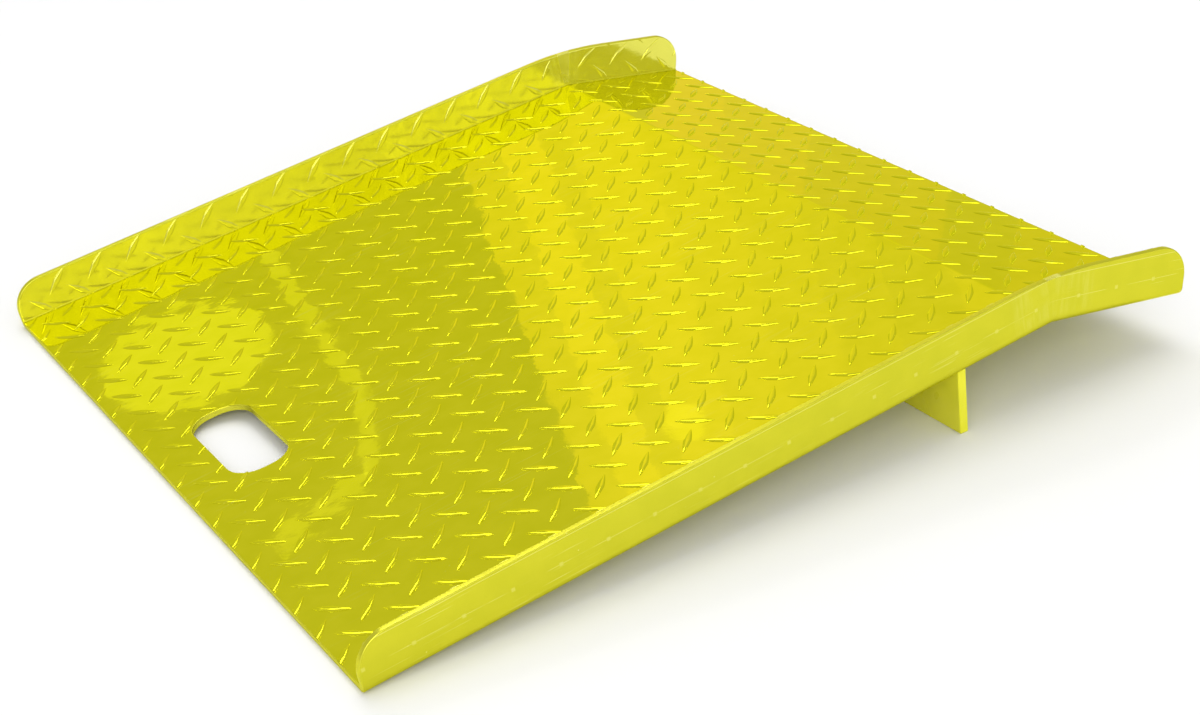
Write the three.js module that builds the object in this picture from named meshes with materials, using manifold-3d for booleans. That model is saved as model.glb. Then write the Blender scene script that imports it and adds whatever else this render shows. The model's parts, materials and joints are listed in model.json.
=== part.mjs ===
// Curb ramp: one tread plate with both sides bent up as curbs and the high end bent down as a lip,
// standing on its low edge and on two plate legs welded under the high end of the deck.
//
// Millimetres, +Z up, +X up the slope, +Y to the left when walking up the ramp. The floor is z = 0
// and the origin is the middle of the ramp's footprint.
import * as THREE from "three";
import { mergeVertices } from "three/addons/utils/BufferGeometryUtils.js";
import Module from "manifold-3d";

const wasm = await Module();
wasm.setup();

// ---- driving dimensions ----
const WIDTH = 914.4; // across the outer faces of the curbs
const PLATE = 6.35; // plate thickness, without the raised lugs
const DECK_LENGTH = 738; // low edge to the cross bend, along the top face
const LIP_LENGTH = 165; // cross bend to the high end, along the top face
const LIP_ANGLE = THREE.MathUtils.degToRad(15); // how far the lip turns down from the deck
const CURB_HEIGHT = 50.8; // underside of the plate to the top of a curb
const SIDE_BEND_RADIUS = 8; // outer radius of the bend between deck and curb
const CURB_CORNER_RADIUS = 34; // rounded top corner at each end of a curb
const CREST = { radius: 450, beforeBend: 45, turn: THREE.MathUtils.degToRad(14.2) }; // curb top over the bend

const HAND_HOLE = { length: 141, width: 63.5, corner: 27, fromLowEdge: 83 };

const SPLICE_ROOT_WIDTH = 6; // slit in the curb before the lip was bent down
const SPLICE_ROOT_HEIGHT = 9.5; // bottom of the slit, above the underside of the plate

const LEG = { station: 630, height: 66, thickness: 9.5, width: 101.6, inset: 5, chamfer: 1 };
const WELD_LEG = 6; // fillet weld, along each of the two faces that it joins
const WELD_BULGE = 0.6; // crown of the weld's face
const WELD_SHORT = 10; // how far a weld stops short of each end of its leg

const GAP = 0.3; // clearance between neighbouring solids
const PAST = 20; // how far a cutting solid reaches past what it cuts

const SLOPE = Math.asin(LEG.height / LEG.station); // the deck's slope when it stands on its legs
const HALF_LIP_ANGLE = LIP_ANGLE / 2;

const YELLOW = new THREE.Color(0.8, 0.76, 0.08);

// ---- axes of the flat outlines ----
const X = new THREE.Vector3(1, 0, 0);
const Y = new THREE.Vector3(0, 1, 0);
const Z = new THREE.Vector3(0, 0, 1);

/** Extrudes a side view (outline x, z) from y = low to y = high. */
function extrudeSideView(shape, low, high) {
  const geometry = new THREE.ExtrudeGeometry(shape, { depth: high - low, bevelEnabled: false });
  const turn = new THREE.Matrix4().makeBasis(X, Z, Y.clone().negate());
  return geometry.applyMatrix4(turn).translate(0, high, 0);
}

/** Extrudes a plan view (outline x, y) from z = low to z = high. */
function extrudePlan(shape, low, high) {
  return new THREE.ExtrudeGeometry(shape, { depth: high - low, bevelEnabled: false }).translate(0, 0, low);
}

function toSolid(geometry) {
  const bare = geometry.clone();
  bare.deleteAttribute("normal");
  bare.deleteAttribute("uv");
  const merged = mergeVertices(bare, 1e-4);
  return new wasm.Manifold(
    new wasm.Mesh({
      numProp: 3,
      vertProperties: new Float32Array(merged.attributes.position.array),
      triVerts: new Uint32Array(merged.index.array),
    }),
  );
}

function toGeometry(solid) {
  const mesh = solid.getMesh();
  const geometry = new THREE.BufferGeometry();
  geometry.setAttribute("position", new THREE.BufferAttribute(mesh.vertProperties, 3));
  geometry.setIndex(new THREE.BufferAttribute(mesh.triVerts, 1));
  geometry.computeVertexNormals();
  return geometry;
}

// ---- places on the bent plate, in the deck's own frame ----
// x runs along the deck from the low edge and z = 0 is its underside.

/** A point on the lip: along it from the cross bend, and above its underside. */
function onLip(along, above) {
  const rise = above - PLATE;
  return new THREE.Vector2(
    DECK_LENGTH + along * Math.cos(LIP_ANGLE) + rise * Math.sin(LIP_ANGLE),
    PLATE - along * Math.sin(LIP_ANGLE) + rise * Math.cos(LIP_ANGLE),
  );
}

/** A point on the plane that halves the cross bend, at a height above the deck's underside. */
function onCrossBend(above) {
  return new THREE.Vector2(DECK_LENGTH + (above - PLATE) * Math.tan(HALF_LIP_ANGLE), above);
}

/** Section across the ramp, outline (y, z): deck with both curbs, taller than their final outline. */
function channelSection() {
  const outer = WIDTH / 2;
  const inner = outer - PLATE;
  const innerRadius = SIDE_BEND_RADIUS - PLATE;
  const top = CURB_HEIGHT + PAST;
  const shape = new THREE.Shape();
  shape.moveTo(-outer, top);
  shape.lineTo(-outer, SIDE_BEND_RADIUS);
  shape.absarc(-outer + SIDE_BEND_RADIUS, SIDE_BEND_RADIUS, SIDE_BEND_RADIUS, Math.PI, 1.5 * Math.PI, false);
  shape.lineTo(outer - SIDE_BEND_RADIUS, 0);
  shape.absarc(outer - SIDE_BEND_RADIUS, SIDE_BEND_RADIUS, SIDE_BEND_RADIUS, -0.5 * Math.PI, 0, false);
  shape.lineTo(outer, top);
  shape.lineTo(inner, top);
  shape.lineTo(inner, SIDE_BEND_RADIUS);
  shape.absarc(inner - innerRadius, SIDE_BEND_RADIUS, innerRadius, 0, -0.5 * Math.PI, true);
  shape.lineTo(-inner + innerRadius, PLATE);
  shape.absarc(-inner + innerRadius, SIDE_BEND_RADIUS, innerRadius, -0.5 * Math.PI, Math.PI, true);
  shape.lineTo(-inner, top);
  return shape;
}

/** The section drawn out from the low edge to the cross bend and on to the lip's end. */
function bentChannel() {
  const geometry = new THREE.ExtrudeGeometry(channelSection(), {
    depth: 2,
    steps: 2,
    curveSegments: 6,
    bevelEnabled: false,
  });
  geometry.applyMatrix4(new THREE.Matrix4().makeBasis(Y, Z, X));
  const ends = [(above) => new THREE.Vector2(0, above), onCrossBend, (above) => onLip(LIP_LENGTH, above)];
  const position = geometry.attributes.position;
  for (let i = 0; i < position.count; i += 1) {
    const place = ends[Math.round(position.getX(i))](position.getZ(i));
    position.setXYZ(i, place.x, position.getY(i), place.y);
  }
  return geometry;
}

/** Centre of the rounded corner at the lip's end: a radius in from its end and from the curb's top. */
function lipCornerCentre(crestCentre) {
  const alongTop = new THREE.Vector2(Math.cos(CREST.turn), -Math.sin(CREST.turn));
  const alongLip = new THREE.Vector2(Math.cos(LIP_ANGLE), -Math.sin(LIP_ANGLE));
  const aboveTop = new THREE.Vector2(-alongTop.y, alongTop.x);
  const start = crestCentre.clone().addScaledVector(aboveTop, CREST.radius - CURB_CORNER_RADIUS);
  const reached = start.clone().sub(onLip(0, PLATE)).dot(alongLip);
  const left = (LIP_LENGTH - CURB_CORNER_RADIUS - reached) / alongTop.dot(alongLip);
  return start.addScaledVector(alongTop, left);
}

/** Side view of the whole plate, with the curbs' rounded ends and the rounded crest over the bend. */
function curbOutline() {
  const straight = CURB_HEIGHT - CURB_CORNER_RADIUS;
  const up = 0.5 * Math.PI;
  const crest = new THREE.Vector2(DECK_LENGTH - CREST.beforeBend, CURB_HEIGHT - CREST.radius);
  const lipCorner = lipCornerCentre(crest);
  const shape = new THREE.Shape();
  shape.moveTo(0, -PAST);
  shape.lineTo(0, straight);
  shape.absarc(CURB_CORNER_RADIUS, straight, CURB_CORNER_RADIUS, Math.PI, up, true);
  shape.absarc(crest.x, crest.y, CREST.radius, up, up - CREST.turn, true);
  shape.absarc(lipCorner.x, lipCorner.y, CURB_CORNER_RADIUS, up - CREST.turn, -LIP_ANGLE, true);
  const foot = onLip(LIP_LENGTH, -PAST);
  shape.lineTo(foot.x, foot.y);
  const bendFoot = onCrossBend(-2 * PAST);
  shape.lineTo(bendFoot.x, bendFoot.y);
  return shape;
}

/** The outline between the two sides, as a solid as wide as asked. */
function curbEnvelope(low, high) {
  const shape = curbOutline();
  const points = shape.getPoints(10);
  return toSolid(extrudeSideView(new THREE.Shape(points), low, high));
}

/** Side view of the slit that the bend opened in a curb, grown by a clearance. */
function spliceWedge(clearance) {
  const side = SPLICE_ROOT_WIDTH / 2 + clearance;
  const root = SPLICE_ROOT_HEIGHT - clearance;
  const top = CURB_HEIGHT + PAST;
  const lipTop = onLip(side, top);
  const lipRoot = onLip(side, root);
  const shape = new THREE.Shape();
  shape.moveTo(DECK_LENGTH - side, root);
  shape.lineTo(lipRoot.x, lipRoot.y);
  shape.lineTo(lipTop.x, lipTop.y);
  shape.lineTo(DECK_LENGTH - side, top);
  return shape;
}

function handHoleOutline() {
  const { length, width, corner, fromLowEdge } = HAND_HOLE;
  const low = fromLowEdge - width / 2;
  const high = fromLowEdge + width / 2;
  const end = length / 2;
  const shape = new THREE.Shape();
  shape.absarc(high - corner, end - corner, corner, 0, 0.5 * Math.PI, false);
  shape.absarc(low + corner, end - corner, corner, 0.5 * Math.PI, Math.PI, false);
  shape.absarc(low + corner, -end + corner, corner, Math.PI, 1.5 * Math.PI, false);
  shape.absarc(high - corner, -end + corner, corner, 1.5 * Math.PI, 2 * Math.PI, false);
  return shape;
}

// ---- the pieces ----

function treadPlate() {
  let plate = toSolid(bentChannel()).intersect(curbEnvelope(-WIDTH, WIDTH));
  plate = plate.subtract(toSolid(extrudePlan(handHoleOutline(), -PAST, PLATE + PAST)));
  const slit = spliceWedge(GAP);
  const inner = WIDTH / 2 - PLATE - 1;
  plate = plate.subtract(toSolid(extrudeSideView(slit, inner, WIDTH / 2 + 1)));
  plate = plate.subtract(toSolid(extrudeSideView(slit, -WIDTH / 2 - 1, -inner)));
  return toGeometry(plate);
}

/** The wedge of weld metal that fills a curb's slit, ground flush with both faces. */
function curbSplice(side) {
  const faces = [(side * WIDTH) / 2, side * (WIDTH / 2 - PLATE)].sort((a, b) => a - b);
  const wedge = toSolid(extrudeSideView(spliceWedge(0), faces[0], faces[1]));
  return toGeometry(wedge.intersect(curbEnvelope(faces[0] - 1, faces[1] + 1)));
}

/** Height of the deck's underside above the floor, at x from the low edge. */
function undersideAt(x) {
  return x * Math.tan(SLOPE);
}

const LEG_CENTRE = LEG.station * Math.cos(SLOPE);

/** A leg stands upright: flat foot, and a top cut parallel to the sloping deck. */
function leg(side) {
  const front = LEG_CENTRE - LEG.thickness / 2;
  const rear = LEG_CENTRE + LEG.thickness / 2;
  const shape = new THREE.Shape();
  shape.moveTo(front + LEG.chamfer, 0);
  shape.lineTo(rear - LEG.chamfer, 0);
  shape.lineTo(rear, LEG.chamfer);
  shape.lineTo(rear, undersideAt(rear) - GAP);
  shape.lineTo(front, undersideAt(front) - GAP);
  shape.lineTo(front, LEG.chamfer);
  return extrudeAcross(shape, side, 0);
}

/** Extrudes a side view over the width of one leg, drawn in at both ends. */
function extrudeAcross(shape, side, drawnIn) {
  const outer = WIDTH / 2 - LEG.inset - drawnIn;
  const inner = WIDTH / 2 - LEG.inset - LEG.width + drawnIn;
  return side > 0 ? extrudeSideView(shape, inner, outer) : extrudeSideView(shape, -outer, -inner);
}

/** Fillet weld between a leg's face and the deck: direction -1 is the face to the low edge. */
function legWeld(side, direction) {
  const face = LEG_CENTRE + direction * (LEG.thickness / 2 + GAP);
  const corner = new THREE.Vector2(face, undersideAt(face) - GAP);
  const alongDeck = new THREE.Vector2(direction * Math.cos(SLOPE), direction * Math.sin(SLOPE));
  const onDeck = corner.clone().addScaledVector(alongDeck, WELD_LEG);
  const onLeg = corner.clone().add(new THREE.Vector2(0, -WELD_LEG));
  const outward = onDeck.clone().add(onLeg).multiplyScalar(0.5).sub(corner).normalize();
  const crown = onDeck.clone().add(onLeg).multiplyScalar(0.5).addScaledVector(outward, 2 * WELD_BULGE);
  const face2d = new THREE.QuadraticBezierCurve(onDeck, crown, onLeg);
  const shape = new THREE.Shape([corner, ...face2d.getPoints(4)]);
  return extrudeAcross(shape, side, WELD_SHORT);
}

// ---- the ramp ----

function paintedMetal() {
  return new THREE.MeshStandardMaterial({ color: YELLOW, roughness: 0.28, metalness: 0.3 });
}

function named(name, geometry) {
  const mesh = new THREE.Mesh(geometry, paintedMetal());
  mesh.name = name;
  return mesh;
}

const SIDES = [
  ["left", 1],
  ["right", -1],
];

/** Plate and splices, in the deck's own frame. */
const deckFrame = new THREE.Group();
deckFrame.add(named("tread_plate", treadPlate()));
for (const [sideName, side] of SIDES) {
  deckFrame.add(named(`curb_splice_${sideName}`, curbSplice(side)));
}
deckFrame.rotation.y = -SLOPE;

const ramp = new THREE.Group();
ramp.add(deckFrame);
for (const [sideName, side] of SIDES) {
  ramp.add(named(`leg_${sideName}`, leg(side)));
  ramp.add(named(`leg_front_weld_${sideName}`, legWeld(side, -1)));
  ramp.add(named(`leg_rear_weld_${sideName}`, legWeld(side, 1)));
}

/** Centres the footprint on the origin. */
const footprint = new THREE.Box3().setFromObject(ramp, true);
ramp.position.x = -(footprint.min.x + footprint.max.x) / 2;

export default ramp;
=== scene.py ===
"""Looks of the yellow tread-plate curb ramp: sheet with raised lugs, welds, legs, camera and studio."""

import itertools
import json
import math

import bmesh
import bpy
from mathutils import Matrix, Quaternion, Vector


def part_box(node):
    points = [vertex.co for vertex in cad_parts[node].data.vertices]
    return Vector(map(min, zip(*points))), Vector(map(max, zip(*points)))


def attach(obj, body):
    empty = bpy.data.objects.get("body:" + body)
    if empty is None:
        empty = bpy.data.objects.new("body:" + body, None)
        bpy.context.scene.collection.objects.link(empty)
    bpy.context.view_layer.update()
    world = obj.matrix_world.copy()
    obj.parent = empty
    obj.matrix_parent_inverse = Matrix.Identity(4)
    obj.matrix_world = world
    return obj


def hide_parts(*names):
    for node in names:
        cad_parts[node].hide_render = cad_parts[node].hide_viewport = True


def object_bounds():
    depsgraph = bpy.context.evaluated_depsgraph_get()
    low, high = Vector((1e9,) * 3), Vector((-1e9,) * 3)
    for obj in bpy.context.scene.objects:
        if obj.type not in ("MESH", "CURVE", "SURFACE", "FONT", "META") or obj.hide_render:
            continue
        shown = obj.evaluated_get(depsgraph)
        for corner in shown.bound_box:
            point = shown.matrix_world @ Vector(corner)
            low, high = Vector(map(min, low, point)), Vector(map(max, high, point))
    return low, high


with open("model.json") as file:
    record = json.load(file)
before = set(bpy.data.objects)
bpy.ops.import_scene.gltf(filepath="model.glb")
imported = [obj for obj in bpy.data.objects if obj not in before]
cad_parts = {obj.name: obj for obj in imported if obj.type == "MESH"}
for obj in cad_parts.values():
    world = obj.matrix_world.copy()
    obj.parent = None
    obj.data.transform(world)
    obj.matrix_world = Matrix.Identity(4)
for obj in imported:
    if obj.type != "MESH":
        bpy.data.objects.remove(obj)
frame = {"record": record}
CAD_LOW, CAD_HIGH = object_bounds()
RECORD = frame["record"]
MOUNTS = {mount["name"]: mount for mount in RECORD["mounts"]}
SIDES = (("left", 1), ("right", -1))

# ---- sizes of the sheet, in metres, as in the CAD source ----
PLATE = 0.00635
LIP_LENGTH = 0.165
CURB_HEIGHT = 0.0508
SIDE_BEND_RADIUS = 0.008  # outer radius of the bend between deck and curb
CURB_CORNER_RADIUS = 0.034
CREST_RADIUS = 0.450
CREST_BEFORE_BEND = 0.045
CREST_TURN = math.radians(14.2)
HAND_HOLE = {"length": 0.141, "width": 0.0635, "corner": 0.027, "from_low_edge": 0.083}
SPLICE_HALF_WIDTH = 0.003
SPLICE_ROOT_HEIGHT = 0.0095

# ---- bends of the visible sheet ----
LIP_BEND_RADIUS = 0.015  # of the top face, in metres
NEUTRAL_SHARE = 0.4  # where the sheet keeps its length in a side bend, from the inner face
SIDE_BEND_STEPS = 8
LIP_BEND_STEPS = 6
SMOOTH_BELOW = math.radians(38)  # edges that turn more than this stay sharp

# ---- raised lugs, in metres on the unfolded sheet ----
LUG_PITCH = (0.04756, 0.04691)  # along the deck, and across it
FIRST_LUG = (0.0288, -0.0068)
LUG_HALF_LENGTH = 0.0189
LUG_HALF_WIDTH = 0.0037
LUG_HEIGHT = 0.0013
LUG_STATIONS = (-1.0, -0.84, -0.52, -0.08, 0.0, 0.08, 0.52, 0.84, 1.0)
HALF_SECTION = ((0.0, 1.0), (0.45, 0.97), (0.7, 0.88), (0.86, 0.66), (0.95, 0.35), (1.0, 0.06), (1.12, -0.06))
LUG_TIP = {"height": 0.05, "width": 0.07}  # shares of the full size that a lug keeps at its ends
NUB = {"across": -0.0011, "reach": 0.0007, "height": 0.0003}
LUG_EDGE_GAP = 0.001  # lugs are cut this far from the sheet's edges
LUG_SHARE_IN_BEND = 0.4  # of its height that a lug keeps in a side bend
SUNK = 0.00015  # how deep a ground-off lug lies under the face
GROUND_BAND = {"foot": 0.014, "widening": 0.004, "fade": 0.004}  # half of the curb's band without lugs

# rounded rims of the sheet, as (how far in from the edge, how deep below the face or above the underside)
TOP_RIM = ((0.0026, 0.0), (0.0011, 0.00006), (0.00045, 0.0003), (0.0001, 0.0008))
UNDER_RIM = ((0.0001, 0.0007), (0.0004, 0.00025), (0.001, 0.0))

# ---- the deck's own frame: x up the slope from the low edge, z = 0 on the underside ----
DECK_UP = Vector(MOUNTS["deck_top"]["axis"]).normalized()
DECK_ALONG = Vector((DECK_UP.z, 0, -DECK_UP.x))


def deck_origin():
    """Where the underside meets the floor: the low edge's lower corner."""
    underside = Vector(MOUNTS["deck_top"]["pos_m"]) - DECK_UP * PLATE
    return underside - DECK_ALONG * (underside.z - CAD_LOW.z) / DECK_ALONG.z


DECK_FRAME = Matrix((DECK_ALONG, Vector((0, 1, 0)), DECK_UP)).transposed().to_4x4()
DECK_FRAME.translation = deck_origin()


def lip_angle_and_deck_length():
    """The lip's turn down from the deck, and where its top face meets the deck's."""
    out = Vector(MOUNTS["lip_underside"]["axis"]).normalized()
    top = Vector(MOUNTS["lip_underside"]["pos_m"]) - out * PLATE
    angle = DECK_UP.angle(-out)
    local = DECK_FRAME.inverted() @ top
    return angle, local.x - (PLATE - local.z) / math.tan(angle)


LIP_ANGLE, DECK_LENGTH = lip_angle_and_deck_length()
HALF_WIDTH = CAD_HIGH.y
FLAT_HALF_WIDTH = HALF_WIDTH - SIDE_BEND_RADIUS
SIDE_BEND_LENGTH = (SIDE_BEND_RADIUS - PLATE + NEUTRAL_SHARE * PLATE) * math.pi / 2
BEND_REACH = LIP_BEND_RADIUS * math.tan(LIP_ANGLE / 2)  # of the lip's bend, to either side
BEND_START = DECK_LENGTH - BEND_REACH


# ---- folding: (along, across, above the underside) on the flat sheet to a place in the row frame ----


def smooth_step(low, high, value):
    t = min(max((value - low) / (high - low), 0.0), 1.0)
    return t * t * (3 - 2 * t)


def across_flat(height):
    """How far out on the flat sheet a height on the curb's wall lies."""
    return FLAT_HALF_WIDTH + SIDE_BEND_LENGTH + height - SIDE_BEND_RADIUS


def fold_side(across, above):
    """(y, height) of a point of the flat sheet once the curbs are bent up."""
    side = 1 if across > 0 else -1
    past = abs(across) - FLAT_HALF_WIDTH
    if past <= 0:
        return across, above
    if past >= SIDE_BEND_LENGTH:
        return side * (HALF_WIDTH - above), past - SIDE_BEND_LENGTH + SIDE_BEND_RADIUS
    turn = past / SIDE_BEND_LENGTH * math.pi / 2
    radius = SIDE_BEND_RADIUS - above
    return side * (FLAT_HALF_WIDTH + radius * math.sin(turn)), SIDE_BEND_RADIUS - radius * math.cos(turn)


def fold_lip(along, height):
    """(x, z) in the deck's frame of a point at a height above the underside, once the lip is bent down."""
    past = along - DECK_LENGTH + BEND_REACH
    if past <= 0:
        return along, height
    if past < 2 * BEND_REACH:
        turn = LIP_ANGLE * past / (2 * BEND_REACH)
        radius = LIP_BEND_RADIUS + height - PLATE
        return BEND_START + radius * math.sin(turn), PLATE - LIP_BEND_RADIUS + radius * math.cos(turn)
    on_lip, rise = along - DECK_LENGTH, height - PLATE
    cos, sin = math.cos(LIP_ANGLE), math.sin(LIP_ANGLE)
    return DECK_LENGTH + on_lip * cos + rise * sin, PLATE - on_lip * sin + rise * cos


def unfold_lip(x, z):
    """(along, height) on the flat sheet of a point of the side view, in the deck's frame."""
    dx, dz = x - DECK_LENGTH, z - PLATE
    cos, sin = math.cos(LIP_ANGLE), math.sin(LIP_ANGLE)
    on_lip = dx * cos - dz * sin
    if on_lip > BEND_REACH:
        return DECK_LENGTH + on_lip, PLATE + dx * sin + dz * cos
    out_x, out_z = x - DECK_LENGTH + BEND_REACH, z - PLATE + LIP_BEND_RADIUS
    if out_x <= 0:
        return x, z
    turn = math.atan2(out_x, out_z)
    along = BEND_START + turn / LIP_ANGLE * 2 * BEND_REACH
    return along, math.hypot(out_x, out_z) - LIP_BEND_RADIUS + PLATE


def fold(place):
    """A point of the flat sheet, in the row frame."""
    y, height = fold_side(place.y, place.z)
    x, z = fold_lip(place.x, height)
    return DECK_FRAME @ Vector((x, y, z))


# ---- outlines on the flat sheet ----


def arc(centre, radius, start, end, steps):
    """Points of an arc, both ends included."""
    turns = [start + (end - start) * i / steps for i in range(steps + 1)]
    return [(centre[0] + radius * math.cos(t), centre[1] + radius * math.sin(t)) for t in turns]


def curb_top_side_view():
    """The curb's top edge in the deck's frame, from its rounded low end to its rounded end on the lip."""
    up = math.pi / 2
    shoulder = CURB_HEIGHT - CURB_CORNER_RADIUS
    low_corner = arc((CURB_CORNER_RADIUS, shoulder), CURB_CORNER_RADIUS, math.pi, up, 14)
    crest_centre = (DECK_LENGTH - CREST_BEFORE_BEND, CURB_HEIGHT - CREST_RADIUS)
    crest = arc(crest_centre, CREST_RADIUS, up, up - CREST_TURN, 16)
    top = (math.cos(CREST_TURN), -math.sin(CREST_TURN))
    lip = (math.cos(LIP_ANGLE), -math.sin(LIP_ANGLE))
    inner = CREST_RADIUS - CURB_CORNER_RADIUS
    start = (crest_centre[0] - inner * top[1], crest_centre[1] + inner * top[0])
    reached = (start[0] - DECK_LENGTH) * lip[0] + (start[1] - PLATE) * lip[1]
    left = (LIP_LENGTH - CURB_CORNER_RADIUS - reached) / (top[0] * lip[0] + top[1] * lip[1])
    lip_centre = (start[0] + top[0] * left, start[1] + top[1] * left)
    lip_corner = arc(lip_centre, CURB_CORNER_RADIUS, up - CREST_TURN, -LIP_ANGLE, 14)
    return low_corner + crest + lip_corner


def sheet_outline():
    """The flat sheet's outline, counter-clockwise."""
    edge = []
    for x, z in curb_top_side_view():
        along, height = unfold_lip(x, z)
        edge.append((along, across_flat(height)))
    far_side = list(reversed(edge))
    near_side = [(along, -across) for along, across in edge]
    return near_side + far_side


def hand_hole_outline():
    """The hand hole's outline, counter-clockwise."""
    corner = HAND_HOLE["corner"]
    low = HAND_HOLE["from_low_edge"] - HAND_HOLE["width"] / 2 + corner
    high = HAND_HOLE["from_low_edge"] + HAND_HOLE["width"] / 2 - corner
    end = HAND_HOLE["length"] / 2 - corner
    points = []
    for x, y, quarter in ((high, end, 0), (low, end, 1), (low, -end, 2), (high, -end, 3)):
        points += arc((x, y), corner, quarter * math.pi / 2, (quarter + 1) * math.pi / 2, 9)
    return points


def inset(outline, distance):
    """The outline moved in to its left by a distance, corners kept sharp."""
    moved = []
    for i, point in enumerate(outline):
        here = Vector(point)
        before = (here - Vector(outline[i - 1])).normalized()
        after = (Vector(outline[(i + 1) % len(outline)]) - here).normalized()
        normals = Vector((-before.y, before.x)), Vector((-after.y, after.x))
        bisector = (normals[0] + normals[1]).normalized()
        moved.append(here + bisector * distance / bisector.dot(normals[0]))
    return moved


# ---- flat solids ----


def add_ring(mesh, outline, distance, above):
    return [mesh.verts.new((p.x, p.y, above)) for p in inset(outline, distance)]


def join_rings(mesh, lower, upper):
    count = len(lower)
    for i in range(count):
        j = (i + 1) % count
        mesh.faces.new((lower[i], lower[j], upper[j], upper[i]))


def ring_edges(mesh, ring):
    return [mesh.edges.get((ring[i - 1], ring[i])) for i in range(len(ring))]


def rimmed_slab(loops, rings):
    """A closed slab: loops (outline first, then holes) swept up through rings of (inset, height)."""
    mesh = bmesh.new()
    ends = []
    for loop in loops:
        made = [add_ring(mesh, loop, distance, above) for distance, above in rings]
        for lower, upper in zip(made, made[1:]):
            join_rings(mesh, lower, upper)
        ends.append((made[0], made[-1]))
    for end in (0, 1):
        edges = [edge for pair in ends for edge in ring_edges(mesh, pair[end])]
        bmesh.ops.triangle_fill(mesh, edges=edges, use_beauty=True, use_dissolve=False)
    bmesh.ops.recalc_face_normals(mesh, faces=mesh.faces)
    return mesh


def sheet_loops():
    return [sheet_outline(), list(reversed(hand_hole_outline()))]


def flat_sheet():
    under = [(distance, deep) for distance, deep in reversed(UNDER_RIM)]
    top = [(distance, PLATE - deep) for distance, deep in reversed(TOP_RIM)]
    return rimmed_slab(sheet_loops(), under + top)


def lug_region():
    """The space over the flat sheet where its lugs may stand."""
    return rimmed_slab(sheet_loops(), [(LUG_EDGE_GAP, PLATE / 2), (LUG_EDGE_GAP, 2 * PLATE)])


def slit_boxes():
    """The two slits in the curbs over the lip's bend, on the flat sheet."""
    mesh = bmesh.new()
    root, top = across_flat(SPLICE_ROOT_HEIGHT), across_flat(2 * CURB_HEIGHT)
    for _, side in SIDES:
        box = bmesh.ops.create_cube(mesh, size=1)["verts"]
        bmesh.ops.scale(mesh, vec=(2 * SPLICE_HALF_WIDTH, top - root, 3 * PLATE), verts=box)
        bmesh.ops.translate(mesh, vec=(DECK_LENGTH, side * (top + root) / 2, PLATE / 2), verts=box)
    return mesh


def cut_for_folding(mesh):
    """Cuts the flat sheet into strips where it bends."""
    for step in range(SIDE_BEND_STEPS + 1):
        across = FLAT_HALF_WIDTH + SIDE_BEND_LENGTH * step / SIDE_BEND_STEPS
        for _, side in SIDES:
            cut(mesh, (0, side * across, 0), (0, 1, 0))
    for step in range(LIP_BEND_STEPS + 1):
        along = BEND_START + 2 * BEND_REACH * step / LIP_BEND_STEPS
        cut(mesh, (along, 0, 0), (1, 0, 0))


def cut(mesh, place, normal):
    """Adds edges where a plane crosses the mesh."""
    geometry = mesh.verts[:] + mesh.edges[:] + mesh.faces[:]
    bmesh.ops.bisect_plane(mesh, geom=geometry, plane_co=place, plane_no=normal, dist=1e-7)


# ---- lugs ----


def lug_height(along, across, rise):
    """Height of a lug's face over the sheet: a lens-shaped ridge with a small nub beside its middle."""
    away = math.hypot(along, across - NUB["across"]) / NUB["reach"]
    station = along / LUG_HALF_LENGTH
    fall = max(1 - station ** 6, LUG_TIP["height"]) ** 0.8 if rise > 0 else 1.0
    return LUG_HEIGHT * rise * fall + NUB["height"] * math.exp(-away * away)


def lug_half_width(station):
    """Half the width of a lug at a station from -1 to 1 along it."""
    return LUG_HALF_WIDTH * max(1 - abs(station) ** 1.6, LUG_TIP["width"])


def lug_template():
    """Vertices and faces of one lug along x, standing on z = 0, with its nub on the -y side."""
    section = [(-across, rise) for across, rise in reversed(HALF_SECTION[1:])] + list(HALF_SECTION)
    row, stations = len(section), len(LUG_STATIONS)
    places = []
    for station in LUG_STATIONS:
        along = station * LUG_HALF_LENGTH
        for share, rise in section:
            across = share * lug_half_width(station)
            places.append((along, across, lug_height(along, across, rise)))
    corners = [i * row + j for i in range(stations - 1) for j in range(row - 1)]
    faces = [(first, first + row, first + row + 1, first + 1) for first in corners]
    low_side = [i * row for i in range(stations)]
    high_side = [i + row - 1 for i in low_side]
    far_end = list(range(low_side[-1] + 1, high_side[-1]))
    near_end = list(range(row - 2, 0, -1))
    faces.append(tuple(reversed(low_side + far_end + high_side[::-1] + near_end)))
    return places, faces


def lug_places():
    """(along, across, turn) of every lug whose centre is near the flat sheet; the nubs face right."""
    reach_along = DECK_LENGTH + LIP_LENGTH + LUG_HALF_LENGTH
    reach_across = across_flat(CURB_HEIGHT) + LUG_HALF_LENGTH
    places = []
    rows = range(-1, math.ceil(reach_along / LUG_PITCH[0]) + 1)
    columns = range(-math.ceil(reach_across / LUG_PITCH[1]) - 1, math.ceil(reach_across / LUG_PITCH[1]) + 1)
    for shift, turn in ((0.0, -math.pi / 4), (0.5, math.pi / 4)):
        for i, j in itertools.product(rows, columns):
            along = FIRST_LUG[0] + (i + shift) * LUG_PITCH[0]
            across = FIRST_LUG[1] + (j + shift) * LUG_PITCH[1]
            if -LUG_HALF_LENGTH < along < reach_along and abs(across) < reach_across:
                places.append((along, across, turn))
    return places


def flat_lugs():
    """Every lug of the flat sheet as one mesh of closed shells."""
    template, template_faces = lug_template()
    vertices, faces = [], []
    for along, across, turn in lug_places():
        cos, sin = math.cos(turn), math.sin(turn)
        base = len(vertices)
        for x, y, z in template:
            vertices.append((along + x * cos - y * sin, across + x * sin + y * cos, PLATE + z))
        faces += [tuple(base + i for i in face) for face in template_faces]
    data = bpy.data.meshes.new("flat_lugs")
    data.from_pydata(vertices, [], faces)
    return data


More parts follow.
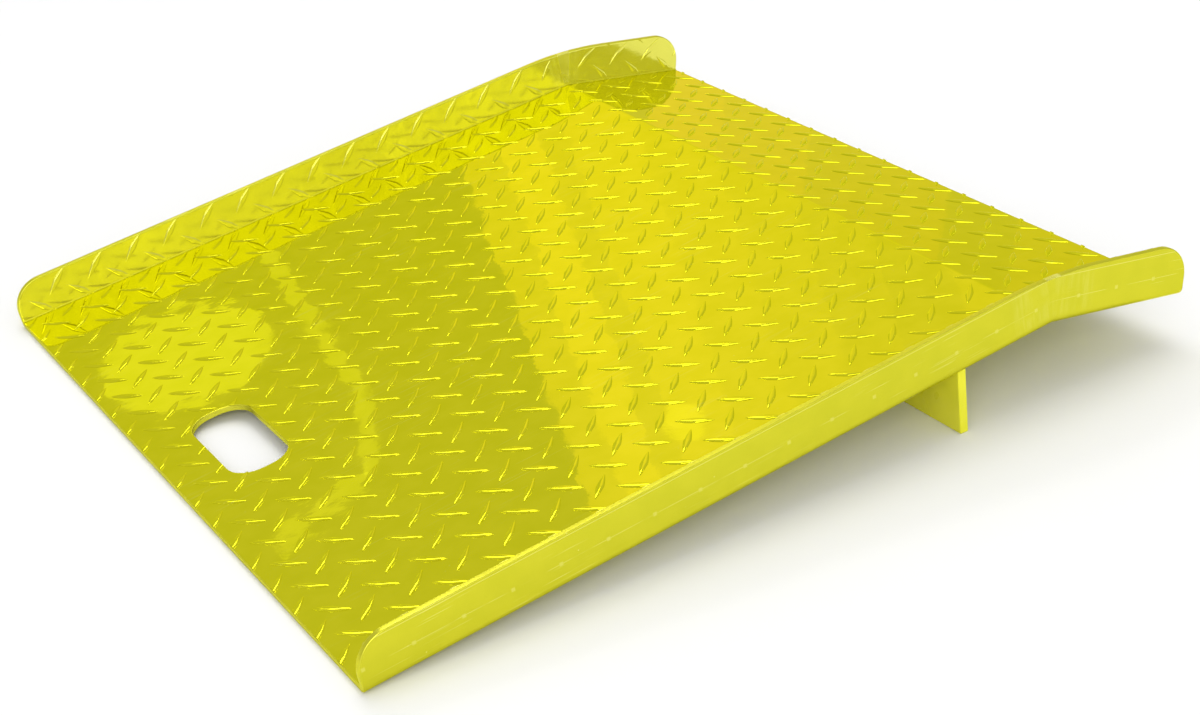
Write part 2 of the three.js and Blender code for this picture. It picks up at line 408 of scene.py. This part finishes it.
def ground_away(along, across, above):
    """A lug's height after the curb's splice was ground flush: near the splice the lugs are gone."""
    wall = (abs(across) - FLAT_HALF_WIDTH - SIDE_BEND_LENGTH) / (CURB_HEIGHT - SIDE_BEND_RADIUS)
    if above <= PLATE or wall < -0.1:
        return above
    half_band = GROUND_BAND["foot"] + GROUND_BAND["widening"] * min(max(wall, 0.0), 1.0)
    kept = smooth_step(half_band, half_band + GROUND_BAND["fade"], abs(along - DECK_LENGTH))
    return PLATE - SUNK + (above - PLATE + SUNK) * kept


def pressed_in_bend(across, above):
    """A lug's height where the side bend has pressed it between the tools."""
    middle = abs(abs(across) - FLAT_HALF_WIDTH - SIDE_BEND_LENGTH / 2)
    rest = smooth_step(SIDE_BEND_LENGTH / 2, SIDE_BEND_LENGTH, middle)
    kept = LUG_SHARE_IN_BEND + (1 - LUG_SHARE_IN_BEND) * rest
    return PLATE + (above - PLATE) * kept if above > PLATE else above


# ---- meshes and objects ----


def mesh_object(name, mesh):
    """A new object from a bmesh, which is used up."""
    data = bpy.data.meshes.new(name)
    mesh.to_mesh(data)
    mesh.free()
    return data_object(name, data)


def data_object(name, data):
    made = bpy.data.objects.new(name, data)
    bpy.context.scene.collection.objects.link(made)
    return made


def remove(*objects):
    for made in objects:
        bpy.data.objects.remove(made)


def combine(first, second, operation):
    """The mesh of first cut by or kept within second."""
    modifier = first.modifiers.new("combine", "BOOLEAN")
    modifier.solver = "MANIFOLD"
    modifier.operation = operation
    modifier.object = second
    bpy.context.view_layer.update()
    evaluated = first.evaluated_get(bpy.context.evaluated_depsgraph_get())
    data = bpy.data.meshes.new_from_object(evaluated)
    first.modifiers.remove(modifier)
    return data


def store_unfolded_place(data):
    """Keeps each point's place on the flat sheet, in metres, for the materials."""
    layer = data.uv_layers.new(name="Unfolded")
    for loop in data.loops:
        layer.uv[loop.index].vector = data.vertices[loop.vertex_index].co.xy


def fold_mesh(data):
    for vertex in data.vertices:
        vertex.co = fold(vertex.co)


DECK_FACE, PLAIN_FACE, ROUGH_FACE, CURB_FACE, BEND_FACE = range(5)  # places of the sheet's materials


def treaded_face(across):
    """The material of the treaded side: on the deck, in the hollow of a side bend, or on a curb."""
    past = abs(across) - FLAT_HALF_WIDTH
    if past < 0:
        return DECK_FACE
    return BEND_FACE if past < SIDE_BEND_LENGTH else CURB_FACE


def sort_sheet_faces(data):
    """Gives each face of the flat sheet its material."""
    for face in data.polygons:
        if face.normal.z > 0.98:
            face.material_index = treaded_face(face.center.y)
        else:
            face.material_index = PLAIN_FACE if face.normal.z < -0.98 else ROUGH_FACE


def sort_lug_faces(data):
    for face in data.polygons:
        face.material_index = treaded_face(face.center.y)


def finish_piece(piece, materials, slot, *nodes):
    """Materials, smooth faces with even normals, and the piece's place in the frame."""
    for material in materials:
        piece.data.materials.append(material)
    piece.data.shade_smooth()
    piece.data.set_sharp_from_angle(angle=SMOOTH_BELOW)
    normals = piece.modifiers.new("even normals", "WEIGHTED_NORMAL")
    normals.keep_sharp = True
    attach(piece, "root")
    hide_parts(*nodes)
    return piece


def joined_data(name, parts):
    """One mesh from several, with their places on the flat sheet and material indices."""
    mesh = bmesh.new()
    for data in parts:
        mesh.from_mesh(data)
    data = bpy.data.meshes.new(name)
    mesh.to_mesh(data)
    mesh.free()
    return data


def folded_lugs():
    """The lugs within the sheet's outline, ground, pressed and folded with it."""
    lugs = data_object("lugs", flat_lugs())
    region = mesh_object("lug_region", lug_region())
    data = combine(lugs, region, "INTERSECT")
    store_unfolded_place(data)
    sort_lug_faces(data)
    for vertex in data.vertices:
        height = pressed_in_bend(vertex.co.y, vertex.co.z)
        vertex.co.z = ground_away(vertex.co.x, vertex.co.y, height)
    fold_mesh(data)
    remove(lugs, region)
    return data


def folded_sheet(sheet, slits, operation):
    """The flat sheet without its slits (DIFFERENCE), or what fills them (INTERSECT), folded."""
    data = combine(sheet, slits, operation)
    store_unfolded_place(data)
    sort_sheet_faces(data)
    fold_mesh(data)
    return data


def make_sheet_and_splices(materials):
    mesh = flat_sheet()
    cut_for_folding(mesh)
    sheet = mesh_object("flat_sheet", mesh)
    slits = mesh_object("slits", slit_boxes())
    plate = folded_sheet(sheet, slits, "DIFFERENCE")
    lugs = folded_lugs()
    piece = data_object("ramp_sheet", joined_data("ramp_sheet", [plate, lugs]))
    sheet_materials = [materials[key] for key in ("tread", "plain", "edge", "curb", "bend")]
    finish_piece(piece, sheet_materials, "plate_paint", "tread_plate")
    both = folded_sheet(sheet, slits, "INTERSECT")
    for name, side in SIDES:
        splice = data_object(f"splice_weld_{name}", one_side(both, side))
        splice_materials = [materials[key] for key in ("splice", "plain", "splice", "splice", "bend")]
        finish_piece(splice, splice_materials, "splice_paint", f"curb_splice_{name}")
    remove(sheet, slits)


def one_side(data, side):
    """A copy of a mesh with only what lies to one side of the middle."""
    mesh = bmesh.new()
    mesh.from_mesh(data)
    others = [vertex for vertex in mesh.verts if vertex.co.y * side < 0]
    bmesh.ops.delete(mesh, geom=others, context="VERTS")
    kept = bpy.data.meshes.new("one_side")
    mesh.to_mesh(kept)
    mesh.free()
    return kept


# ---- legs and their welds ----

LEG_EDGE = 0.0014  # how far the edges of a leg are eased, in metres
WELD_STEPS = 136
WELD_SECTION_STEPS = 8
WELD_END = 0.03  # share of its full size that a bead keeps at its ends
WELD_RIPPLES = {"count": 27, "depth": 0.09, "wander": 0.3, "wander_pace": 11}
WELD_CROWN = {"level": 0.74, "rise": 0.06, "squash": 0.98}  # shares of the bead's reach


def underside_height(x):
    """Height of the deck's underside above the floor at a place in the row frame."""
    return (x - DECK_FRAME.translation.x) * DECK_ALONG.z / DECK_ALONG.x


def make_leg(name, material):
    """A flat bar on edge with eased edges, its top cut to the slope of the deck."""
    low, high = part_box(f"leg_{name}")
    mesh = bmesh.new()
    box = bmesh.ops.create_cube(mesh, size=1)["verts"]
    for vertex in box:
        top = vertex.co.z > 0
        vertex.co.x = high.x if vertex.co.x > 0 else low.x
        vertex.co.y = high.y if vertex.co.y > 0 else low.y
        vertex.co.z = underside_height(vertex.co.x) if top else low.z
    eased = [edge for edge in mesh.edges if any(v.co.z < low.z + LEG_EDGE for v in edge.verts)]
    bmesh.ops.bevel(mesh, geom=eased, offset=LEG_EDGE, segments=4, profile=0.5, affect="EDGES")
    leg = mesh_object(f"leg_bar_{name}", mesh)
    finish_piece(leg, [material], "leg_paint", f"leg_{name}")


def make_weld(name, end, side_name, material):
    """A fillet bead along the top of a leg, laid in overlapping ripples and rounded off at both ends."""
    low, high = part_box(f"leg_{end}_weld_{side_name}")
    towards = -1 if end == "front" else 1
    leg_face = high.x if end == "front" else low.x
    width = high.x - low.x
    mesh = bmesh.new()
    rows = []
    for i in range(WELD_STEPS + 1):
        share = i / WELD_STEPS
        y = low.y + (high.y - low.y) * share
        rows.append(weld_row(mesh, leg_face, y, towards, width * weld_size(share)))
    for lower, upper in zip(rows, rows[1:]):
        join_rings(mesh, lower, upper)
    mesh.faces.new(rows[0])
    mesh.faces.new(rows[-1])
    bmesh.ops.recalc_face_normals(mesh, faces=mesh.faces)
    bead = mesh_object(name, mesh)
    finish_piece(bead, [material], "weld_paint", f"leg_{end}_weld_{side_name}")


def weld_size(share):
    """Size of a bead's section at a share of its length: rippled, and rounded off at both ends."""
    swell = math.sqrt(max(1 - (2 * share - 1) ** 16, 0.0)) * (1 - WELD_END) + WELD_END
    wander = WELD_RIPPLES["wander"] * math.sin(share * WELD_RIPPLES["wander_pace"])
    wave = abs(math.sin(math.pi * (share * WELD_RIPPLES["count"] + wander)))
    return swell * (1 - WELD_RIPPLES["depth"] * wave)


def weld_row(mesh, leg_face, y, towards, reach):
    """One section of a bead: its corner between leg and deck, and a slightly crowned face."""
    corner_z = underside_height(leg_face)
    row = [mesh.verts.new((leg_face, y, corner_z))]
    for i in range(WELD_SECTION_STEPS + 1):
        turn = math.pi / 2 * i / WELD_SECTION_STEPS
        crown = WELD_CROWN["level"] + WELD_CROWN["rise"] * math.sin(2 * turn)
        straight = 1 / (math.cos(turn) + math.sin(turn))
        out = reach * (straight + (crown - straight) * math.sin(2 * turn))
        x = leg_face + towards * out * math.sin(turn)
        z = underside_height(x) - out * math.cos(turn) * WELD_CROWN["squash"]
        row.append(mesh.verts.new((x, y, z)))
    return row


# ---- materials ----

YELLOW = Vector((0.785, 0.752, 0.018, 1))
OLIVE_YELLOW = Vector((0.745, 0.722, 0.014, 1))
PALE_YELLOW = Vector((0.88, 0.86, 0.2, 1))
GLANCING_TINT = (1, 1, 0.42, 1)
BROAD_WAVES = {"scale": 8.0, "height": 0.0004}  # unevenness of the surface, heights in metres
FINE_WAVES = {"scale": 36.0, "height": 0.00007}
SCRATCHES = ({"turn": 0.5, "fine": 900, "sparse": 9.0}, {"turn": -0.15, "fine": 700, "sparse": 6.0})
SPECKS = {"scale": 150.0, "size": 0.12, "share": 0.05}
PALE_ROUGHNESS = 0.12  # how much rougher the coat is where it is pale
DIMPLE_HEIGHT = 0.000012  # this and the rest are in metres
PRESS_LINE_HEIGHT = 0.0245  # of the bending tool's line, above the foot of a curb's outer face
PALE_LINE_DEPTH = 0.0029  # of a thin pale line, below the top of a curb's outer face
THIN_LINE = (0.0005, 0.0002)  # a line fades in between these distances from its middle
PRESS_DOT = {"outer": 0.0024, "inner": 0.0012, "height": 0.00008, "paleness": 0.45}
GROUND_FADE = 0.004  # half of the width over which a ground patch ends
GROUND_HEIGHT = 0.00003


def add(tree, kind, inputs=None, **settings):
    """A node with its settings; inputs are values, or outputs of other nodes."""
    made = tree.nodes.new(kind)
    for key, value in settings.items():
        setattr(made, key, value)
    for key, value in (inputs or {}).items():
        if isinstance(value, bpy.types.NodeSocket):
            tree.links.new(value, made.inputs[key])
        else:
            made.inputs[key].default_value = value
    return made


def math_node(tree, operation, first, second=0.0, third=0.0):
    return add(tree, "ShaderNodeMath", {0: first, 1: second, 2: third}, operation=operation).outputs[0]


def noise(tree, vector, scale, detail=2.0, roughness=0.5):
    inputs = {"Vector": vector, "Scale": scale, "Detail": detail, "Roughness": roughness}
    return add(tree, "ShaderNodeTexNoise", inputs).outputs["Fac"]


def between(tree, value, low, high, to_low=0.0, to_high=1.0):
    """The value mapped smoothly from one range to another, and held at its ends."""
    inputs = {"Value": value, "From Min": low, "From Max": high, "To Min": to_low, "To Max": to_high}
    return add(tree, "ShaderNodeMapRange", inputs, interpolation_type="SMOOTHSTEP").outputs["Result"]


def mapped(tree, vector, scale, turn=0.0):
    inputs = {"Vector": vector, "Scale": scale, "Rotation": (0, 0, turn)}
    return add(tree, "ShaderNodeMapping", inputs).outputs["Vector"]


def mix_colour(tree, share, first, second):
    """A colour between two others; the numbers are the places of the node's colour sockets."""
    return add(tree, "ShaderNodeMix", {0: share, 6: first, 7: second}, data_type="RGBA").outputs[2]


def new_material(name):
    """A material with its node tree emptied, and its Principled shader linked to the output."""
    material = bpy.data.materials.new(name)
    material.use_nodes = True
    tree = material.node_tree
    tree.nodes.clear()
    shader = add(tree, "ShaderNodeBsdfPrincipled")
    add(tree, "ShaderNodeOutputMaterial", {"Surface": shader.outputs[0]})
    return material, tree, shader


def scratches(tree, vector, turn, fine, sparse):
    """Thin straight lines: 1 on a line, 0 beside it."""
    stretched = mapped(tree, vector, (14, fine, fine), turn)
    lines = between(tree, noise(tree, stretched, 1.0, 1.0), 0.66, 0.72)
    patches = between(tree, noise(tree, vector, sparse, 1.0), 0.52, 0.68)
    return math_node(tree, "MULTIPLY", lines, patches)


def specks(tree, vector, scale, size, share):
    """Small round spots, on a share of the cells."""
    cells = add(tree, "ShaderNodeTexVoronoi", {"Vector": vector, "Scale": scale})
    spots = between(tree, cells.outputs["Distance"], size, size * 0.5)
    chosen = add(tree, "ShaderNodeSeparateColor", {"Color": cells.outputs["Color"]}).outputs[0]
    return math_node(tree, "MULTIPLY", spots, math_node(tree, "LESS_THAN", chosen, share))


def coat_place(tree, place):
    """Where a point lies, in metres: on the flat sheet, or in its own object."""
    if place == "Unfolded":
        return add(tree, "ShaderNodeUVMap", uv_map="Unfolded").outputs[0]
    return add(tree, "ShaderNodeTexCoord").outputs["Object"]


def worn_spots(tree, vector, wear):
    """Share of pale yellow from scratches and specks."""
    lines = math_node(tree, "ADD", *(scratches(tree, vector, **kind) for kind in SCRATCHES))
    spots = specks(tree, vector, **SPECKS)
    return math_node(tree, "MULTIPLY", math_node(tree, "MAXIMUM", lines, spots), wear)


def yellow_coat(name, place, gloss, wave, wear, paleness_and_sheen=0.0, painted_brightness=1.0, metal=1.0, marks=None):
    """Glossy candy-yellow coat on bright metal. gloss is (low, high) roughness, wave scales the unevenness,
    wear the scratches, the next argument the paleness, which is partly painted sheen, the one after it the
    brightness, which is painted light and shade, and metal the share of mirrored light;
    marks(tree, place) returns further heights in metres and a share of pale yellow, in places painted sheen."""
    material, tree, shader = new_material(name)
    vector = coat_place(tree, place)
    broad = noise(tree, vector, BROAD_WAVES["scale"], 2.0)
    fine = noise(tree, vector, FINE_WAVES["scale"], 3.0)
    pale = worn_spots(tree, vector, wear)
    height = math_node(tree, "MULTIPLY", broad, BROAD_WAVES["height"] * wave)
    height = math_node(tree, "MULTIPLY_ADD", fine, FINE_WAVES["height"] * wave, height)
    if marks:
        more_height, more_pale = marks(tree, vector)
        height = math_node(tree, "ADD", height, more_height)
        pale = math_node(tree, "MAXIMUM", pale, more_pale)
    bump = add(tree, "ShaderNodeBump", {"Height": height, "Strength": 1.0, "Distance": 1.0})
    smudge = between(tree, noise(tree, vector, 5.0, 4.0, 0.6), 0.35, 0.7, gloss[0], gloss[1])
    rough = math_node(tree, "MULTIPLY_ADD", pale, PALE_ROUGHNESS, smudge)
    # painted light and shade: each copy's base colours are made paler, and brighter or darker, to stand for
    # the light that falls on its faces
    shades = [shade.lerp(PALE_YELLOW, paleness_and_sheen) * painted_brightness for shade in (OLIVE_YELLOW, YELLOW)]
    base = mix_colour(tree, between(tree, fine, 0.3, 0.7), *shades)
    colour = mix_colour(tree, pale, base, PALE_YELLOW)
    tree.links.new(colour, shader.inputs["Base Color"])
    tree.links.new(rough, shader.inputs["Roughness"])
    tree.links.new(bump.outputs[0], shader.inputs["Normal"])
    shader.inputs["Metallic"].default_value = metal
    shader.inputs["Specular Tint"].default_value = GLANCING_TINT
    shader.inputs["Coat Weight"].default_value = 0.06
    shader.inputs["Coat Roughness"].default_value = 0.05
    return material


def along_and_across(tree, vector):
    parts = add(tree, "ShaderNodeSeparateXYZ", {"Vector": vector})
    return parts.outputs[0], parts.outputs[1]


def distance_from(tree, value, place):
    return math_node(tree, "ABSOLUTE", math_node(tree, "SUBTRACT", value, place))


def thin_line(tree, distance):
    """1 on a thin line, given the distance from its middle."""
    return between(tree, distance, *THIN_LINE)


def rolled_dimples(tree, vector):
    """The faint swell that rolling leaves around each lug."""
    waves = []
    for axis, coordinate in enumerate(along_and_across(tree, vector)):
        shifted = math_node(tree, "SUBTRACT", coordinate, FIRST_LUG[axis])
        turned = math_node(tree, "MULTIPLY", shifted, 2 * math.pi / LUG_PITCH[axis])
        waves.append(math_node(tree, "COSINE", turned))
    swell = math_node(tree, "MULTIPLY", waves[0], waves[1])
    return math_node(tree, "MULTIPLY", swell, DIMPLE_HEIGHT), 0.0


def press_line(tree, vector, from_line):
    """The broken line that the bending tool left along the foot of a curb."""
    broken = between(tree, noise(tree, vector, 26.0, 2.0), 0.42, 0.58)
    return math_node(tree, "MULTIPLY", thin_line(tree, from_line), math_node(tree, "MULTIPLY", broken, 0.5))


def press_dots(tree, along, from_line):
    """The dots on that line where lugs were pressed through, one in each lug pitch."""
    pitch = LUG_PITCH[0]
    shifted = math_node(tree, "SUBTRACT", along, FIRST_LUG[0] + pitch / 2)
    aside = math_node(tree, "ABSOLUTE", math_node(tree, "WRAP", shifted, pitch / 2, -pitch / 2))
    away = math_node(tree, "MAXIMUM", aside, from_line)
    return between(tree, away, PRESS_DOT["outer"], PRESS_DOT["inner"])


def press_marks(tree, vector):
    """What bending and grinding left on a curb's outer face, and a thin pale line below its top; the
    grinding's pale streaks are painted sheen.
    """
    along, across = along_and_across(tree, vector)
    out = math_node(tree, "ABSOLUTE", across)
    from_line = distance_from(tree, out, across_flat(PRESS_LINE_HEIGHT))
    from_pale_line = distance_from(tree, out, across_flat(CURB_HEIGHT - PALE_LINE_DEPTH))
    dots = press_dots(tree, along, from_line)
    pale_dots = math_node(tree, "MULTIPLY", dots, PRESS_DOT["paleness"])
    # a thin pale line, painted a little below the top of the outer face
    upper_pale_line = math_node(tree, "MULTIPLY", thin_line(tree, from_pale_line), 0.7)
    # pale streaks where the weld was ground: their paleness is painted sheen
    ground = math_node(tree, "MULTIPLY", ground_streaks_and_sheen(tree, vector, 0.045, 0.0), 0.22)
    pale = math_node(tree, "MAXIMUM", press_line(tree, vector, from_line), pale_dots)
    pale = math_node(tree, "MAXIMUM", pale, math_node(tree, "MAXIMUM", upper_pale_line, ground))
    return math_node(tree, "MULTIPLY", dots, PRESS_DOT["height"]), pale


def ground_streaks_and_sheen(tree, vector, half_width, widening):
    """Streaks up the curb where its weld was ground flush: rough ground marks whose pale colour is painted
    sheen, the light that the rough surface scatters.
    """
    along, across = along_and_across(tree, vector)
    from_weld = distance_from(tree, along, DECK_LENGTH)
    height = math_node(tree, "SUBTRACT", math_node(tree, "ABSOLUTE", across), FLAT_HALF_WIDTH)
    edge = math_node(tree, "MULTIPLY_ADD", height, widening, half_width)
    near = between(tree, math_node(tree, "SUBTRACT", from_weld, edge), GROUND_FADE, -GROUND_FADE)
    on_curb = between(tree, height, 0.004, 0.012)
    streaks = noise(tree, mapped(tree, vector, (260, 14, 14)), 1.0, 3.0, 0.6)
    blotches = noise(tree, vector, 45.0, 3.0)
    place = math_node(tree, "MULTIPLY", near, on_curb)
    streaked = between(tree, streaks, 0.3, 0.75)
    strength = math_node(tree, "MULTIPLY", streaked, between(tree, blotches, 0.3, 0.6))
    return math_node(tree, "MULTIPLY", place, strength)


def curb_marks(tree, vector):
    """The ground weld on a curb's treaded side; its pale colour is painted sheen."""
    ground = ground_streaks_and_sheen(tree, vector, 0.015, 0.08)
    return math_node(tree, "MULTIPLY", ground, GROUND_HEIGHT), ground


def make_materials():
    # Copies of the one yellow coat: besides roughness and metal, their brightness and paleness differ by face
    # and by piece to stand for the light and shade on each, which is painted light and shade.
    flat = "Unfolded"
    return {
        "tread": yellow_coat("tread_coat", flat, (0.015, 0.045), 0.45, 0.4, marks=rolled_dimples),
        # the curb's treaded face is painted paler than the deck: a painted sheen for the hazy reflections it
        # shows
        "curb": yellow_coat("curb_coat", flat, (0.1, 0.24), 4.0, 0.6, 0.55, 0.97, 0.82, curb_marks),
        # the outer faces and underside are darkened: painted shade
        "plain": yellow_coat("plain_coat", flat, (0.12, 0.22), 0.8, 0.8, 0.1, 0.87, marks=press_marks),
        "edge": yellow_coat("cut_edge_coat", flat, (0.3, 0.45), 3.0, 1.0, 0.2, 0.86),
        "bend": yellow_coat("bend_coat", flat, (0.34, 0.46), 1.2, 0.3, 0.1, 0.9),
        "splice": yellow_coat("ground_weld_coat", flat, (0.16, 0.3), 2.4, 0.8, 0.6, 0.88, 0.7, curb_marks),
        # the legs are brightened: painted light where the scene leaves them in the ramp's shade
        "leg": yellow_coat("leg_coat", "Object", (0.25, 0.35), 0.9, 0.08, 0.05, 1.03, 0.0),
        "weld": yellow_coat("weld_coat", "Object", (0.2, 0.34), 1.5, 0.3, 0.2, metal=0.7),
    }


FLOOR_SIZE = 30
FLOOR_DROP = 0.0002  # how far the floor lies below the ramp's lowest point, in metres


def make_floor():
    """A large plain pale floor."""
    mesh = bmesh.new()
    bmesh.ops.create_grid(mesh, x_segments=1, y_segments=1, size=FLOOR_SIZE)
    floor = mesh_object("floor", mesh)
    floor.location.z = CAD_LOW.z - FLOOR_DROP
    material, tree, shader = new_material("pale_floor")
    place = add(tree, "ShaderNodeTexCoord").outputs["Object"]
    shade = mix_colour(tree, noise(tree, place, 3.0, 2.0), (0.86, 0.86, 0.86, 1), (0.88, 0.88, 0.88, 1))
    tree.links.new(shade, shader.inputs["Base Color"])
    shader.inputs["Roughness"].default_value = 0.9
    shader.inputs["Specular IOR Level"].default_value = 0.1
    floor.data.materials.append(material)


# ---- camera and light ----

CAMERA = {"azimuth": -27.77, "elevation": 27.066, "roll": -7.342, "distance": 2.1277, "lens": 64.807}
AIM_FROM_CENTRE = Vector((-0.0415, -0.1645, -0.0135))
WORLD_LEVEL = 0.67

# Far lights that the ramp mirrors. Directions are (azimuth, elevation) in degrees, and a strip is
# (azimuth where it ends, level).
CARD_DISTANCE = 80
PANEL_START = 19.6
PANEL_ELEVATIONS = (15, 42)
PANEL_STRIPS = (
    (20.8, 0.27),
    (22.1, 0.40),
    (22.9, 0.28),
    (25.0, 0.36),
    (27.0, 0.31),
    (29.0, 0.27),
    (31.0, 0.22),
    (33.2, 0.18),
    (35.5, 0.25),
    (38.0, 0.21),
    (41.0, 0.16),
    (44.4, 0.09),
)
PANEL_COLOUR = (1, 0.71, 0.45)
LOW_PANEL_START = 32.0
LOW_PANEL_ELEVATIONS = (4, 15)
LOW_PANEL_STRIPS = ((34.5, 0.07), (36.5, 0.27), (39.0, 0.21), (43.0, 0.14), (45.0, 0.06), (48.0, 0.11))
LOW_PANEL_COLOUR = (1, 0.42, 0.1)
CAMERA_SIDE_START = 146.0
CAMERA_SIDE_ELEVATIONS = (12, 36)
CAMERA_SIDE_STRIPS = ((156.0, 0.45), (161.0, 0.8), (166.0, 0.4), (171.0, 0.7), (190.0, 0.45))
WHITE = (1, 1, 1)
ARC = ((13.2, 26.0), (13.6, 28.6), (14.2, 30.8), (13.3, 32.8), (9.7, 33.4))  # a thin bright arc
ARC_THICKNESS = 0.45
ARC_LEVEL = 0.2

# near, soft lights: direction, size in metres and level
NEAR_DISTANCE = 6
NEAR_CARDS = {
    "lug_light": ((9, 49), (2.3, 1.1), 5.0),
    "key": ((208, 27), (4.0, 3.4), 2.8),
    "overhead": ((140, 70), (4.5, 4.5), 0.3),
    "fill": ((60, 75), (4.0, 4.0), 2.0),
}
UNMIRRORED = ("fill",)


def from_angles(azimuth, elevation):
    """Unit vector towards an azimuth, 0 along +Y and 90 along +X, and an elevation, in degrees."""
    a, e = math.radians(azimuth), math.radians(elevation)
    return Vector((math.sin(a) * math.cos(e), math.cos(a) * math.cos(e), math.sin(e)))


def make_camera():
    """A camera beside the ramp's right curb, towards its low end, that looks down at it."""
    camera = bpy.data.objects.new("camera", bpy.data.cameras.new("camera"))
    bpy.context.scene.collection.objects.link(camera)
    camera.data.lens = CAMERA["lens"]
    aim = (CAD_LOW + CAD_HIGH) / 2 + AIM_FROM_CENTRE
    looking = from_angles(-CAMERA["azimuth"], -CAMERA["elevation"])
    camera.location = aim - looking * CAMERA["distance"]
    camera.rotation_mode = "QUATERNION"
    roll = Quaternion((0, 0, 1), math.radians(CAMERA["roll"]))
    camera.rotation_quaternion = looking.to_track_quat("-Z", "Y") @ roll
    bpy.context.scene.camera = camera


def make_card(name, direction, distance, size, level, colour=WHITE, along=None, shape="RECTANGLE"):
    """A soft light that faces the ramp. level is its own brightness; along turns its width that way."""
    light = bpy.data.lights.new(name, "AREA")
    light.shape = shape
    light.size, light.size_y = size
    area = size[0] * size[1] * (math.pi / 4 if shape == "ELLIPSE" else 1)
    light.energy = level * area * math.pi
    light.color = colour
    made = bpy.data.objects.new(name, light)
    bpy.context.scene.collection.objects.link(made)
    side = (along or Vector((0, 0, 1)).cross(direction)).normalized()
    made.location = direction * distance
    made.rotation_mode = "QUATERNION"
    made.rotation_quaternion = Matrix((side, direction.cross(side), direction)).transposed().to_quaternion()
    return made


def make_window(name, azimuths, elevations, level, colour=WHITE):
    """A far, upright card that fills a window of azimuths and elevations, seen from the ramp."""
    outward = from_angles(sum(azimuths) / 2, 0)
    low, high = (CARD_DISTANCE * math.tan(math.radians(angle)) for angle in elevations)
    width = 2 * CARD_DISTANCE * math.tan(math.radians(azimuths[1] - azimuths[0]) / 2)
    card = make_card(name, outward, CARD_DISTANCE, (width, high - low), level, colour)
    card.location.z = (low + high) / 2


def make_strips(name, start, strips, elevations, colour):
    """Windows side by side, each given by the azimuth where it ends and its level."""
    for end, level in strips:
        make_window(f"{name}_{end}", (start, end), elevations, level, colour)
        start = end


def make_bar(name, first, last, thickness, level, shape="RECTANGLE"):
    """A far card from one direction to another; the directions and the thickness are in degrees."""
    ends = from_angles(*first), from_angles(*last)
    direction = (ends[0] + ends[1]).normalized()
    span = ends[1] - ends[0]
    size = (span.length * CARD_DISTANCE, CARD_DISTANCE * math.radians(thickness))
    make_card(name, direction, CARD_DISTANCE, size, level, along=span, shape=shape)


def make_world():
    scene = bpy.context.scene
    scene.view_settings.view_transform = "Standard"
    scene.world = bpy.data.worlds.new("studio")
    scene.world.use_nodes = True
    background = scene.world.node_tree.nodes["Background"]
    background.inputs["Color"].default_value = (1, 1, 1, 1)
    background.inputs["Strength"].default_value = WORLD_LEVEL


def make_mirrored_lights():
    """Far cards that give the deck and the curbs something to mirror."""
    make_strips("panel", PANEL_START, PANEL_STRIPS, PANEL_ELEVATIONS, PANEL_COLOUR)
    make_strips("low_panel", LOW_PANEL_START, LOW_PANEL_STRIPS, LOW_PANEL_ELEVATIONS, LOW_PANEL_COLOUR)
    make_strips("camera_side", CAMERA_SIDE_START, CAMERA_SIDE_STRIPS, CAMERA_SIDE_ELEVATIONS, WHITE)
    make_window("low_backdrop", (-40, 12), (0.5, 9), 0.2)
    make_window("rear_backdrop", (12, 19.4), (0.5, 21), 0.25)
    make_bar("patch", (7.1, 27.6), (12.3, 28.1), 2.7, 0.3, "ELLIPSE")
    make_bar("spot", (23.0, 34.3), (24.0, 34.9), 0.8, 0.16)
    for place, (first, last) in enumerate(zip(ARC, ARC[1:])):
        make_bar(f"arc_{place}", first, last, ARC_THICKNESS, ARC_LEVEL)


def make_near_lights():
    for name, (direction, size, level) in NEAR_CARDS.items():
        card = make_card(name, from_angles(*direction), NEAR_DISTANCE, size, level)
        card.visible_glossy = name not in UNMIRRORED


def main():
    materials = make_materials()
    make_sheet_and_splices(materials)
    for name, _ in SIDES:
        make_leg(name, materials["leg"])
        make_weld(f"weld_bead_front_{name}", "front", name, materials["weld"])
        make_weld(f"weld_bead_rear_{name}", "rear", name, materials["weld"])
    make_floor()
    make_world()
    make_mirrored_lights()
    make_near_lights()
    make_camera()


main()
